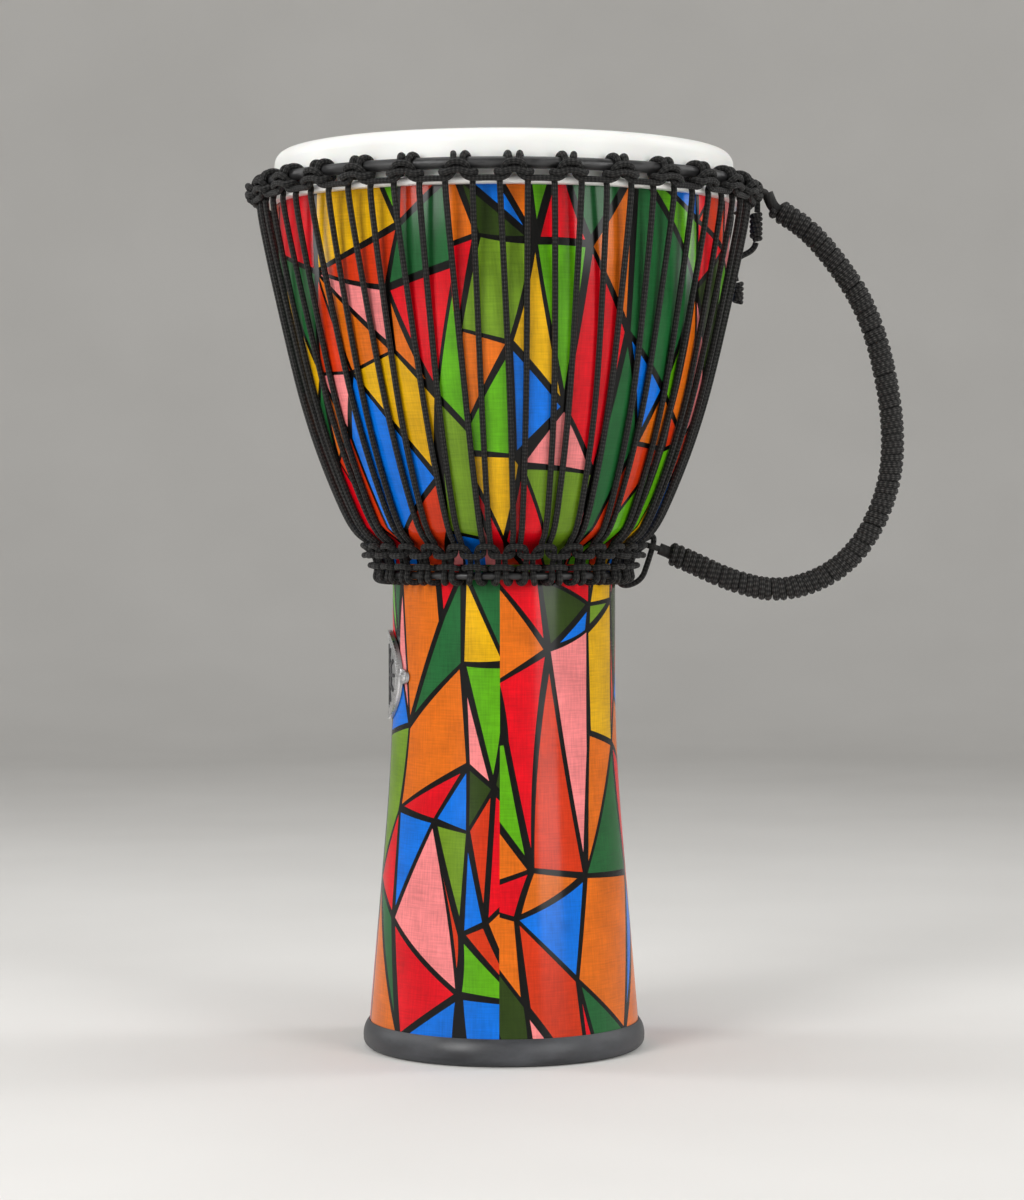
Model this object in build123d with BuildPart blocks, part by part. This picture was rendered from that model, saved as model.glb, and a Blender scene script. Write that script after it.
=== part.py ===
from build123d import *
import os
from math import asin, atan2, cos, hypot, radians, sin, sqrt, tan

# A rope-tuned djembe. The origin is the centre of the face it stands on, +Z is up,
# the front is towards -Y and the carrying handle is on the +X side. Sizes in mm.
# A place round the drum is (angle, radius, height), the angle counted from the
# front towards the handle.

# ---- driving dimensions -------------------------------------------------------
DRUM_HEIGHT = 610.0
HEAD_RADIUS = 156.3
HEAD_THICKNESS = 0.8
HEAD_EDGE_ROUND = 9.0
BOWL_TOP_RADIUS = 155.0
BOWL_TOP_HEIGHT = 578.0
BOWL_SIDE_RADIUS = 510.0
BOWL_CORNER = (101.5, 355.0)
SHELF_END = (76.2, 335.5)
BOWL_CORNER_ROUND = 9.0
NECK_ROUND = 8.0
NECK_RADIUS = 76.2
FLARE_TOP = 260.0
FLARE_END = 155.0
FLARE_SLOPE = 0.085
SHELL_WALL = 7.0
CLOTH = 0.6
CLOTH_SPLIT = 331.0
CLOTH_TOP = 602.0

SHELL_BOTTOM = 4.0
SHELL_TOP = 609.1
BEARING_ROUND = 6.8

RIM_HEIGHT = 18.6
RIM_RADIUS = 96.5
RIM_BORE = 82.0
RIM_LINER = 12.0
RIM_LIP = 88.0

ROPE = 4.0
FIT = 0.05
KNOTS = 30
PITCH = 360 / KNOTS
FIRST_KNOT = 2.15
LOWER_SKEW = 2.85

CROWN_RADIUS = 164.4
CROWN_HEIGHT = 586.0
CROWN_WIRE = 6.0
CROWN_SLEEVE = 7.7
HOOP_OUTER = 163.0
HOOP_BOTTOM = 573.4
HOOP_TOP = 577.9
HOOP_BULGE = 1.8

LOWER_RING_RADIUS = 83.0
LOWER_RING_HEIGHT = 323.5
LOWER_WIRE = 4.0
LOWER_SLEEVE = 5.0

TOP_ARC_RADIUS = 169.4
TOP_ARC_HEIGHT = 575.95
LOWER_ARC_RADIUS = 96.65
LOWER_ARC_HEIGHT = 343.15
U_TURN_RADIUS = 95.8
U_TURN_HEIGHT = 336.4

LEG_ANGLE = 3.0
LEG_TOP = 569.6
LEG_HEIGHTS = (385, 420, 462)
LEG_STANDOFF = 2.75

HINGE_TOP = (92.15, 175.49, 586.0)
HINGE_BOTTOM = (95.0, 102.7, 342.0)
HANDLE_WRAP = 16.5
HANDLE_CORE = 8.0
WRAP_START = 0.21
WRAP_END = 0.26
EYE_CLEARANCE = 0.3
TAIL_KNOTS = ((173.0, 550.5, 571.5, 4.6), (160.5, 508.0, 524.0, 4.2))
TAIL_KNOT_ROUND = 3.0

BADGE_ANGLE = -86.0
BADGE_HEIGHT = 255.0
BADGE_RADIUS = 30.5
BADGE_INNER = 76.9
BADGE_THICKNESS = 1.6
EAR_REACH = 38.5
EAR_HEIGHT = 10.0
BADGE_BANDS = ((30.5, 24.0, 0.4), (30.5, 27.5, 1.2), (25.2, 24.0, 0.8))
EMBLEM_HEIGHT = 0.6
RIVET_OFFSET = 26.0
RIVET_RADIUS = 1.6
RIVET_HEAD_RADIUS = 3.2
RIVET_HEAD_HEIGHT = 1.4
RIVET_HEAD_TAPER = 32
RIVET_TAIL_RADIUS = 2.8
RIVET_TAIL_HEIGHT = 1.2
WASHER_RADIUS = 4.0
WASHER_THICKNESS = 1.0
WASHER_FACE = 68.45

# Radius where the goblet's half sections start, and how far they run past its ends.
SECTION_START = 40.0
SECTION_SPARE = 20.0


# ---- helpers ------------------------------------------------------------------
def place(angle, radius, height):
    """The point at an angle from the front, a distance from the axis and a height."""
    return Vector(radius * sin(radians(angle)), -radius * cos(radians(angle)), height)


def corner_radii(points, closed=False):
    """One fillet radius for each corner, as large as its two runs allow."""
    count = len(points)
    corners = range(count) if closed else range(1, count - 1)
    radii = []
    for i in corners:
        before = points[i] - points[i - 1]
        after = points[(i + 1) % count] - points[i]
        half_turn = radians(before.get_angle(after)) / 2
        radii.append(0.45 * min(before.length, after.length) / tan(half_turn))
    return radii


def section_plane(route):
    """The plane square to a route where it starts."""
    return Plane(origin=route @ 0, z_dir=route % 0)


def bowl_radius(height):
    """Outer radius of the bowl's side at a height."""
    return bowl_centre[0] + sqrt(BOWL_SIDE_RADIUS**2 - (height - bowl_centre[1]) ** 2)


# Centre of the arc that makes the bowl's side, in (radius, height).
chord = (BOWL_TOP_RADIUS - BOWL_CORNER[0], BOWL_TOP_HEIGHT - BOWL_CORNER[1])
half_chord = hypot(*chord) / 2
chord_depth = sqrt(BOWL_SIDE_RADIUS**2 - half_chord**2)
bowl_centre = (
    (BOWL_TOP_RADIUS + BOWL_CORNER[0]) / 2 - chord_depth * chord[1] / (2 * half_chord),
    (BOWL_TOP_HEIGHT + BOWL_CORNER[1]) / 2 + chord_depth * chord[0] / (2 * half_chord),
)
flare_radius = (FLARE_TOP - FLARE_END) / sin(atan2(FLARE_SLOPE, 1))
flare_end_radius = NECK_RADIUS + flare_radius * (1 - cos(atan2(FLARE_SLOPE, 1)))
section_foot = (flare_end_radius + FLARE_SLOPE * (FLARE_END + SECTION_SPARE), -SECTION_SPARE)
section_top = DRUM_HEIGHT + SECTION_SPARE


def goblet(inset):
    """Half section of the goblet's outer form, smaller all round by an inset."""
    with BuildSketch(Plane.XZ) as section:
        with BuildLine():
            Line((SECTION_START, section_top), (BOWL_TOP_RADIUS, section_top))
            Line((BOWL_TOP_RADIUS, section_top), (BOWL_TOP_RADIUS, BOWL_TOP_HEIGHT))
            RadiusArc((BOWL_TOP_RADIUS, BOWL_TOP_HEIGHT), BOWL_CORNER, BOWL_SIDE_RADIUS)
            Line(BOWL_CORNER, SHELF_END)
            Line(SHELF_END, (NECK_RADIUS, FLARE_TOP))
            RadiusArc((NECK_RADIUS, FLARE_TOP), (flare_end_radius, FLARE_END), -flare_radius)
            Line((flare_end_radius, FLARE_END), section_foot)
            Line(section_foot, (SECTION_START, -SECTION_SPARE))
            Line((SECTION_START, -SECTION_SPARE), (SECTION_START, section_top))
        make_face()
        corner = section.vertices().sort_by_distance((BOWL_CORNER[0], 0, BOWL_CORNER[1]))[0]
        fillet(corner, BOWL_CORNER_ROUND)
        neck = section.vertices().sort_by_distance((SHELF_END[0], 0, SHELF_END[1]))[0]
        fillet(neck, NECK_ROUND)
        if inset:
            offset(amount=-inset, kind=Kind.INTERSECTION)
    return section.sketch


def save(piece, name):
    piece.part.label = name
    export_step(piece.part, f"parts/{name}.step")


os.makedirs("parts", exist_ok=True)

# ---- goblet shell and its printed cloth -----------------------------------------


def shell_section(outer_inset, inner_inset, bottom, top):
    """Half section of a layer of the goblet's wall between two insets and two heights."""
    with BuildSketch(Plane.XZ) as section:
        add(goblet(outer_inset))
        add(goblet(inner_inset), mode=Mode.SUBTRACT)
        with Locations((0, DRUM_HEIGHT / 2)):
            Rectangle(3 * SECTION_START, 2 * DRUM_HEIGHT, mode=Mode.SUBTRACT)
        for middle in (bottom - DRUM_HEIGHT, top + DRUM_HEIGHT):
            with Locations((0, middle)):
                Rectangle(4 * HEAD_RADIUS, 2 * DRUM_HEIGHT, mode=Mode.SUBTRACT)
    return section.sketch


def radial_plane(angle, radius, height):
    """A plane that faces straight out from the drum's axis, with its y axis up."""
    along = (cos(radians(angle)), sin(radians(angle)), 0)
    return Plane(origin=place(angle, radius, height), x_dir=along, z_dir=place(angle, 1, 0))


def rivet_plane(side, radius):
    """The plane square to one of the badge's two rivets, at a distance from the axis."""
    return radial_plane(BADGE_ANGLE + side * RIVET_OFFSET, radius, BADGE_HEIGHT)


with BuildPart() as rivet_drills:
    for side in (-1, 1):
        with BuildSketch(rivet_plane(side, NECK_RADIUS - 20)):
            Circle(RIVET_RADIUS + FIT)
        extrude(amount=40)

with BuildPart() as shell:
    add(shell_section(CLOTH, CLOTH + SHELL_WALL, SHELL_BOTTOM, SHELL_TOP))
    revolve(axis=Axis.Z)
    rim_edges = shell.edges().filter_by(GeomType.CIRCLE).group_by(Axis.Z)[-1]
    fillet(rim_edges.sort_by(SortBy.RADIUS)[-1], BEARING_ROUND)
    add(rivet_drills.part, mode=Mode.SUBTRACT)
save(shell, "shell")

with BuildPart() as bowl_wrap:
    add(shell_section(0, CLOTH, CLOTH_SPLIT, CLOTH_TOP))
    revolve(axis=Axis.Z)
save(bowl_wrap, "bowl_wrap")

with BuildPart() as foot_wrap:
    add(shell_section(0, CLOTH, RIM_HEIGHT, CLOTH_SPLIT))
    revolve(axis=Axis.Z)
    add(rivet_drills.part, mode=Mode.SUBTRACT)
save(foot_wrap, "foot_wrap")

# ---- rubber rim: a moulded channel that the shell's lower edge sits in -------------
with BuildPart() as foot_rim:
    with BuildSketch(Plane.XZ):
        with BuildLine():
            Polyline((RIM_BORE, RIM_LINER), (RIM_BORE, 0), (RIM_RADIUS - 6, 0))
            ThreePointArc((RIM_RADIUS - 6, 0), (RIM_RADIUS - 1.6, 2.0), (RIM_RADIUS, 6.4))
            ThreePointArc((RIM_RADIUS, 6.4), (RIM_RADIUS - 0.7, 13.4), (RIM_RADIUS - 3.6, RIM_HEIGHT))
            Line((RIM_RADIUS - 3.6, RIM_HEIGHT), (RIM_LIP, RIM_HEIGHT))
            Polyline((RIM_LIP, RIM_HEIGHT), (RIM_LIP, RIM_LINER), (RIM_BORE, RIM_LINER))
        make_face()
        add(shell_section(CLOTH, CLOTH + SHELL_WALL, SHELL_BOTTOM, 60), mode=Mode.SUBTRACT)
    revolve(axis=Axis.Z)
save(foot_rim, "foot_rim")

# ---- head: a white film with a rolled edge and a collar, and its flesh hoop ---------
with BuildPart() as head_skin:
    with BuildSketch(Plane.XZ):
        with BuildLine():
            Line((0, DRUM_HEIGHT), (HEAD_RADIUS - HEAD_EDGE_ROUND, DRUM_HEIGHT))
            edge_centre = (HEAD_RADIUS - HEAD_EDGE_ROUND, DRUM_HEIGHT - HEAD_EDGE_ROUND)
            CenterArc(edge_centre, HEAD_EDGE_ROUND, 0, 90)
            Line((HEAD_RADIUS, DRUM_HEIGHT - HEAD_EDGE_ROUND), (HEAD_RADIUS, HOOP_BOTTOM))
            Line((HEAD_RADIUS, HOOP_BOTTOM), (HEAD_RADIUS - HEAD_THICKNESS, HOOP_BOTTOM))
            inner_radius = HEAD_RADIUS - HEAD_THICKNESS
            Line((inner_radius, HOOP_BOTTOM), (inner_radius, DRUM_HEIGHT - HEAD_EDGE_ROUND))
            CenterArc(edge_centre, HEAD_EDGE_ROUND - HEAD_THICKNESS, 0, 90)
            underside = DRUM_HEIGHT - HEAD_THICKNESS
            Polyline((HEAD_RADIUS - HEAD_EDGE_ROUND, underside), (0, underside), (0, DRUM_HEIGHT))
        make_face()
    revolve(axis=Axis.Z)
save(head_skin, "head_skin")

with BuildPart() as flesh_hoop:
    with BuildSketch(Plane.XZ):
        with BuildLine():
            edge = HOOP_OUTER - HOOP_BULGE
            middle = (HOOP_BOTTOM + HOOP_TOP) / 2
            ThreePointArc((edge, HOOP_BOTTOM), (HOOP_OUTER, middle), (edge, HOOP_TOP))
            Line((edge, HOOP_TOP), (HEAD_RADIUS, HOOP_TOP))
            Line((HEAD_RADIUS, HOOP_TOP), (HEAD_RADIUS, HOOP_BOTTOM))
            Line((HEAD_RADIUS, HOOP_BOTTOM), (edge, HOOP_BOTTOM))
        make_face()
    revolve(axis=Axis.Z)
save(flesh_hoop, "flesh_hoop")


# ---- crown ring and lower ring, each a steel ring in a smooth sleeve ----------------
def hoop_of(radius, height, outer, inner=0.0):
    """A round ring of wire, or a sleeve for one where an inner diameter is given."""
    with BuildPart() as hoop:
        with BuildSketch(Plane.XZ):
            with Locations((radius, height)):
                Circle(outer / 2)
                if inner:
                    Circle(inner / 2, mode=Mode.SUBTRACT)
        revolve(axis=Axis.Z)
    return hoop


save(hoop_of(CROWN_RADIUS, CROWN_HEIGHT, CROWN_WIRE), "crown_ring")
save(hoop_of(CROWN_RADIUS, CROWN_HEIGHT, CROWN_SLEEVE, CROWN_WIRE), "crown_ring_sleeve")
save(hoop_of(LOWER_RING_RADIUS, LOWER_RING_HEIGHT, LOWER_WIRE), "lower_ring")
save(hoop_of(LOWER_RING_RADIUS, LOWER_RING_HEIGHT, LOWER_SLEEVE, LOWER_WIRE), "lower_ring_sleeve")


# ---- ropes --------------------------------------------------------------------------
def mirrored(half):
    """The other half of a route that is the same on both sides of angle 0."""
    return [(-angle, radius, height) for angle, radius, height in reversed(half)]


def shifted(route, turn):
    """A route turned about the drum's axis."""
    return [(angle + turn, radius, height) for angle, radius, height in route]


def arc_end(radius, height, half_span):
    """The last two points of a rope's arc, so that it ends square to the pitch line."""
    before = (PITCH / 2 - half_span, radius / cos(radians(half_span)), height)
    return [before, (PITCH / 2, radius, height)]


def rope(points, diameter=ROPE, closed=False):
    """A rope of one diameter swept along straight runs joined by tangent arcs."""
    with BuildPart() as strand:
        with BuildLine() as route:
            FilletPolyline(*points, radius=corner_radii(points, closed), close=closed)
        with BuildSketch(section_plane(route.line)):
            Circle(diameter / 2)
        sweep(path=route.line)
    return strand


def ring_of(unit, first_angle):
    """One rope unit repeated at every knot, each unit meeting the next face to face."""
    with BuildPart() as ring:
        with PolarLocations(0, KNOTS, start_angle=first_angle):
            add(unit.part)
    return ring


# Each rope's route is given for half of one knot, from the knot's middle outwards.
# The top loop rope makes a cow hitch on the crown ring: its bridge crosses the front,
# goes back under the ring, up behind it, over its top and down inside the bridge, and
# then runs out to the arc that joins it to the next knot.
crown_wrap = CROWN_SLEEVE / 2 + ROPE / 2 + FIT
top_hitch = [
    (1.1, 174.7, 585.9),
    (2.1, 172.9, 583.7),
    (2.2, 168.6, 580.3),
    (2.1, CROWN_RADIUS - crown_wrap, CROWN_HEIGHT - crown_wrap - 0.2),
    (1.75, CROWN_RADIUS - crown_wrap, CROWN_HEIGHT + crown_wrap),
    (1.03, CROWN_RADIUS + crown_wrap, CROWN_HEIGHT + crown_wrap),
    (0.68, 170.4, 579.3),
    (2.4, 170.1, 575.6),
] + arc_end(TOP_ARC_RADIUS, TOP_ARC_HEIGHT, 1.8)
top_unit = rope([place(*point) for point in mirrored(top_hitch) + top_hitch])
save(ring_of(top_unit, FIRST_KNOT), "top_loops")

# The lower loop rope makes the same hitch upside down on the lower ring.
lower_wrap = LOWER_SLEEVE / 2 + ROPE / 2 + FIT
lower_hitch = [
    (2.07, 91.65, 329.6),
    (4.6, 88.8, 328.7),
    (4.55, LOWER_RING_RADIUS - lower_wrap, LOWER_RING_HEIGHT + lower_wrap),
    (4.0, 78.4, 318.2),
    (1.82, 88.9, 319.45),
    (1.72, 86.5, 327.45),
    (1.18, 88.8, 337.05),
    (2.62, 94.9, 342.15),
] + arc_end(LOWER_ARC_RADIUS, LOWER_ARC_HEIGHT, 1.7)
lower_unit = rope([place(*point) for point in mirrored(lower_hitch) + lower_hitch])
lower_angle = FIRST_KNOT + LOWER_SKEW - PITCH / 2
save(ring_of(lower_unit, lower_angle), "lower_loops")


# The lacing is one rope. It turns round the front of each top hitch, goes behind the top
# arcs, down the bowl, behind the lower arc, and turns round the front of the next lower
# hitch. One unit runs from the middle of one lower hitch to the middle of the next.
top_turn = [
    (1.25, 174.8, 580.6),
    (2.8, 173.9, 578.5),
    (4.0, 168.6, 580.9),
    (3.1, 165.1, 576.7),
    (LEG_ANGLE, 167.3, LEG_TOP),
]
lower_turn = [
    (0, U_TURN_RADIUS, U_TURN_HEIGHT),
    (2.5, U_TURN_RADIUS / cos(radians(2.5)), U_TURN_HEIGHT),
    (4.77, 91.25, 337.6),
    (4.44, 91.45, 344.6),
]


def leg(foot_angle, side):
    """Points up one leg, just outside the bowl's face, leaning from its foot to its top."""
    points = [(foot_angle, 103.75, 353.0)]
    for height in LEG_HEIGHTS:
        rise = (height - LOWER_ARC_HEIGHT) / (LEG_TOP - LOWER_ARC_HEIGHT)
        slope = asin((bowl_centre[1] - height) / BOWL_SIDE_RADIUS)
        radius = bowl_radius(height) + LEG_STANDOFF / cos(slope)
        points.append((foot_angle + (side * LEG_ANGLE - foot_angle) * rise, radius, height))
    return points


left_foot = shifted(lower_turn, LOWER_SKEW - PITCH / 2)
right_foot = shifted(mirrored(lower_turn), LOWER_SKEW + PITCH / 2)
left_leg = leg(left_foot[-1][0], -1)
right_leg = leg(right_foot[0][0], 1)
lacing_route = left_foot + left_leg + mirrored(top_turn) + top_turn + right_leg[::-1] + right_foot
lacing_unit = rope([place(*point) for point in lacing_route])
save(ring_of(lacing_unit, FIRST_KNOT), "lacing")

# ---- carrying handle: a rope with an eye at each end, wound over with cord -------------
hinge_top = place(*HINGE_TOP)
hinge_bottom = place(*HINGE_BOTTOM)
hinge_axis = (hinge_top - hinge_bottom).normalized()
eye_radius = ROPE / 2 + EYE_CLEARANCE + ROPE / 2

# Corners of the handle's route as (x, height), from the upper eye round to the lower one.
handle_corners = [
    (180.5, 584.45),
    (184.5, 574.5),
    (207, 561.5),
    (228.5, 537),
    (247.5, 508.5),
    (260, 472),
    (268, 425),
    (266, 385),
    (250.5, 347.5),
    (226, 322.5),
    (190, 310.5),
    (156, 318.5),
    (125, 333.5),
    (106.8, 340.8),
]


def in_handle_plane(x, height):
    """A point of the plane that holds both eyes and runs straight out along x."""
    rise = (height - hinge_bottom.Z) / (hinge_top.Z - hinge_bottom.Z)
    return Vector(x, hinge_bottom.Y + rise * (hinge_top.Y - hinge_bottom.Y), height)


def handle_layer(points, radii, outer, inner=0.0):
    """A round layer of the handle along its route, hollow where an inner size is given."""
    with BuildPart() as layer:
        with BuildLine() as route:
            FilletPolyline(*points, radius=radii)
        with BuildSketch(section_plane(route.line)):
            Circle(outer / 2)
            if inner:
                Circle(inner / 2, mode=Mode.SUBTRACT)
        sweep(path=route.line)
    return layer


handle_route = [in_handle_plane(*corner) for corner in handle_corners]
handle_bends = corner_radii(handle_route)
with BuildPart() as handle_core:
    add(handle_layer(handle_route, handle_bends, HANDLE_CORE).part)
    for eye in (hinge_top, hinge_bottom):
        with Locations(Plane(origin=eye, z_dir=hinge_axis)):
            Torus(eye_radius, ROPE / 2)
save(handle_core, "handle_core")

wrap_start = handle_route[1] + (handle_route[2] - handle_route[1]) * WRAP_START
wrap_end = handle_route[-1] + (handle_route[-2] - handle_route[-1]) * WRAP_END
wrap_route = [wrap_start] + handle_route[2:-1] + [wrap_end]
save(handle_layer(wrap_route, handle_bends[1:], HANDLE_WRAP, HANDLE_CORE), "handle_wrap")

# Each lashing is a closed loop of rope whose outer side is the pin its eye turns on.
top_loop = [(158.5, 580.1), (158.5, 591.9), (177.3, 592.0), (173.7, 580.1)]
top_lashing = rope([place(HINGE_TOP[0], *corner) for corner in top_loop], closed=True)
save(top_lashing, "handle_top_lashing")

lower_loop = [
    (104.9, 349.5),
    (99, 349),
    (78.5, 334),
    (78.3, 318),
    (84, 314.5),
    (95, 319),
    (99.4, 331),
]
lower_lashing = rope([place(HINGE_BOTTOM[0], *corner) for corner in lower_loop], closed=True)
save(lower_lashing, "handle_lower_lashing")

# The upper lashing's loose end hangs down in front of the bowl, with two knots in it.
tail_runs = [
    [(173.7, 580.3), (174.0, 576.0), (173.8, 571.5)],
    [(172.8, 550.5), (172.0, 545.5), (159.5, 540.0), (157.2, 533.0), (159.4, 524.0)],
]
with BuildPart() as lashing_tail:
    for run in tail_runs:
        add(rope([place(HINGE_TOP[0], *corner) for corner in run]).part)
save(lashing_tail, "lashing_tail")

with BuildPart() as tail_knots:
    for radius, bottom, top, thickness in TAIL_KNOTS:
        middle = place(HINGE_TOP[0], radius, (bottom + top) / 2)
        with Locations(middle):
            Cylinder(thickness, top - bottom)
    fillet(tail_knots.edges().filter_by(GeomType.CIRCLE), TAIL_KNOT_ROUND)
save(tail_knots, "tail_knots")


# ---- badge: a plate bent round the foot, with its rim, emblem, rivets and washers -------
def bent_layer(flat, inner, outer):
    """A flat shape carried straight out on to a layer bent round the drum's axis."""
    with BuildPart() as layer:
        extrude(flat, amount=40, dir=place(BADGE_ANGLE, 1, 0))
        with BuildSketch(Plane.XY.offset(BADGE_HEIGHT - 2 * BADGE_RADIUS)):
            Circle(outer)
            Circle(inner, mode=Mode.SUBTRACT)
        extrude(amount=4 * BADGE_RADIUS, mode=Mode.INTERSECT)
    return layer.part


badge_plane = radial_plane(BADGE_ANGLE, 50, BADGE_HEIGHT)
badge_face = BADGE_INNER + BADGE_THICKNESS

with BuildSketch(badge_plane) as badge_outline:
    Circle(BADGE_RADIUS)
    SlotOverall(2 * EAR_REACH, EAR_HEIGHT)
with BuildPart() as badge_plate:
    add(bent_layer(badge_outline.sketch, BADGE_INNER, badge_face))
    add(rivet_drills.part, mode=Mode.SUBTRACT)
save(badge_plate, "badge_plate")

with BuildPart() as badge_rim:
    for outer, inner, height in BADGE_BANDS:
        with BuildSketch(badge_plane) as band:
            Circle(outer)
            Circle(inner, mode=Mode.SUBTRACT)
        add(bent_layer(band.sketch, badge_face, badge_face + height))
save(badge_rim, "badge_rim")

with BuildSketch(badge_plane) as emblem:
    Circle(14)
    Circle(11.5, mode=Mode.SUBTRACT)
    with PolarLocations(17.2, 12):
        SlotOverall(7.5, 2.6)
    with PolarLocations(8.6, 4):
        SlotOverall(7.4, 2.4)
    Circle(5.5)
with BuildPart() as badge_emblem:
    add(bent_layer(emblem.sketch, badge_face, badge_face + EMBLEM_HEIGHT))
save(badge_emblem, "badge_emblem")

rivet_tail_face = WASHER_FACE - WASHER_THICKNESS - RIVET_TAIL_HEIGHT
with BuildPart() as badge_rivets:
    for side in (-1, 1):
        with BuildSketch(rivet_plane(side, rivet_tail_face)):
            Circle(RIVET_RADIUS)
        extrude(amount=badge_face - rivet_tail_face)
        with BuildSketch(rivet_plane(side, rivet_tail_face)):
            Circle(RIVET_TAIL_RADIUS)
        extrude(amount=RIVET_TAIL_HEIGHT)
        with BuildSketch(rivet_plane(side, badge_face)):
            Circle(RIVET_HEAD_RADIUS)
        extrude(amount=RIVET_HEAD_HEIGHT, taper=RIVET_HEAD_TAPER)
save(badge_rivets, "badge_rivets")

with BuildPart() as rivet_washers:
    for side in (-1, 1):
        with BuildSketch(rivet_plane(side, WASHER_FACE - WASHER_THICKNESS)):
            Circle(WASHER_RADIUS)
            Circle(RIVET_RADIUS + FIT, mode=Mode.SUBTRACT)
        extrude(amount=WASHER_THICKNESS)
save(rivet_washers, "rivet_washers")
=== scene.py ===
import random
from math import asin, cos, hypot, pi, radians, sin, sqrt, tau

import bpy
import numpy as np
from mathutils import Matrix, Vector
from mathutils.geometry import delaunay_2d_cdt


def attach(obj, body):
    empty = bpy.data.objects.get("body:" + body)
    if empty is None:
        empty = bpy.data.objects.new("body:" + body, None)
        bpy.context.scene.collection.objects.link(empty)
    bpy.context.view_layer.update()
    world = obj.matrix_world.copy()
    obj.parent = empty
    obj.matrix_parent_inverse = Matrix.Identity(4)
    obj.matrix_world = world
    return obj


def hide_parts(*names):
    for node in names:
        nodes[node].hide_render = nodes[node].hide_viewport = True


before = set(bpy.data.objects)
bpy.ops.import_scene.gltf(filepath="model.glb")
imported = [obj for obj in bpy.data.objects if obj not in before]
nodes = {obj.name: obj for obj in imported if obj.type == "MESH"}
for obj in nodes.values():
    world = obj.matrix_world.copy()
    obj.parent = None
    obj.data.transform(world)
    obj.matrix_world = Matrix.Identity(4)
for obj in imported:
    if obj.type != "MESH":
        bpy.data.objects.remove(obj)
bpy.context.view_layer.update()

# The looks of a rope-tuned djembe. Blender works in metres; the sizes and routes that
# part.py gives in millimetres are repeated here in millimetres and turned into metres
# by place(). The front is towards -Y and the carrying handle is on the +X side.

MM = 0.001

bpy.context.scene.view_settings.view_transform = "Standard"

# ---- camera -------------------------------------------------------------------------------
CAMERA_DISTANCE = 2.125
CAMERA_HEIGHT = 0.3625
CAMERA_TARGET = Vector((0.0055, 0.0, 0.3056))
CAMERA_LENS = 93
SENSOR_HEIGHT = 36

camera_data = bpy.data.cameras.new("camera")
camera_data.sensor_fit = "VERTICAL"
camera_data.sensor_height = SENSOR_HEIGHT
camera_data.lens = CAMERA_LENS
camera = bpy.data.objects.new("camera", camera_data)
camera.location = (0, -CAMERA_DISTANCE, CAMERA_HEIGHT)
camera.rotation_euler = (CAMERA_TARGET - camera.location).to_track_quat("-Z", "Y").to_euler()
bpy.context.scene.collection.objects.link(camera)
bpy.context.scene.camera = camera


# ---- helpers ------------------------------------------------------------------------------
def place(angle, radius, height):
    """The point in metres at an angle from the front, a distance and a height in mm."""
    turn = radians(angle)
    return Vector((radius * sin(turn), -radius * cos(turn), height)) * MM


def add_object(name, mesh):
    """A new object in the scene that shows a mesh."""
    piece = bpy.data.objects.new(name, mesh)
    bpy.context.scene.collection.objects.link(piece)
    return piece


def settle(piece, body, slot, *replaced):
    """Puts a finished piece on a body, in place of CAD nodes. The slot argument is not used."""
    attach(piece, body)
    if replaced:
        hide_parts(*replaced)


def nurbs_line(points, closed=False, steps=8):
    """Points along the smooth line that a route's points control."""
    curve = bpy.data.curves.new("route", "CURVE")
    curve.dimensions = "3D"
    curve.resolution_u = steps
    spline = curve.splines.new("NURBS")
    spline.points.add(len(points) - 1)
    for control, point in zip(spline.points, points):
        control.co = (*point, 1)
    spline.use_cyclic_u = closed
    spline.use_endpoint_u = not closed
    spline.order_u = 3
    carrier = bpy.data.objects.new("route", curve)
    line = bpy.data.meshes.new_from_object(carrier)
    found = np.array([vertex.co for vertex in line.vertices])
    bpy.data.objects.remove(carrier)
    bpy.data.meshes.remove(line)
    bpy.data.curves.remove(curve)
    return found


FIRST_SIDE_FROM = (0.3, 0.2, 0.93)


def frames_along(line, closed=False):
    """Unit tangents and two normals at every point of a line, turning as little as it can."""
    if closed:
        tangents = np.roll(line, -1, 0) - np.roll(line, 1, 0)
    else:
        tangents = np.gradient(line, axis=0)
    tangents /= np.linalg.norm(tangents, axis=1)[:, None]
    side = np.cross(tangents[0], FIRST_SIDE_FROM)
    sides = []
    for tangent in tangents:
        side = side - tangent * (side @ tangent)
        side = side / np.linalg.norm(side)
        sides.append(side)
    sides = np.array(sides)
    return tangents, sides, np.cross(tangents, sides)


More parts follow.
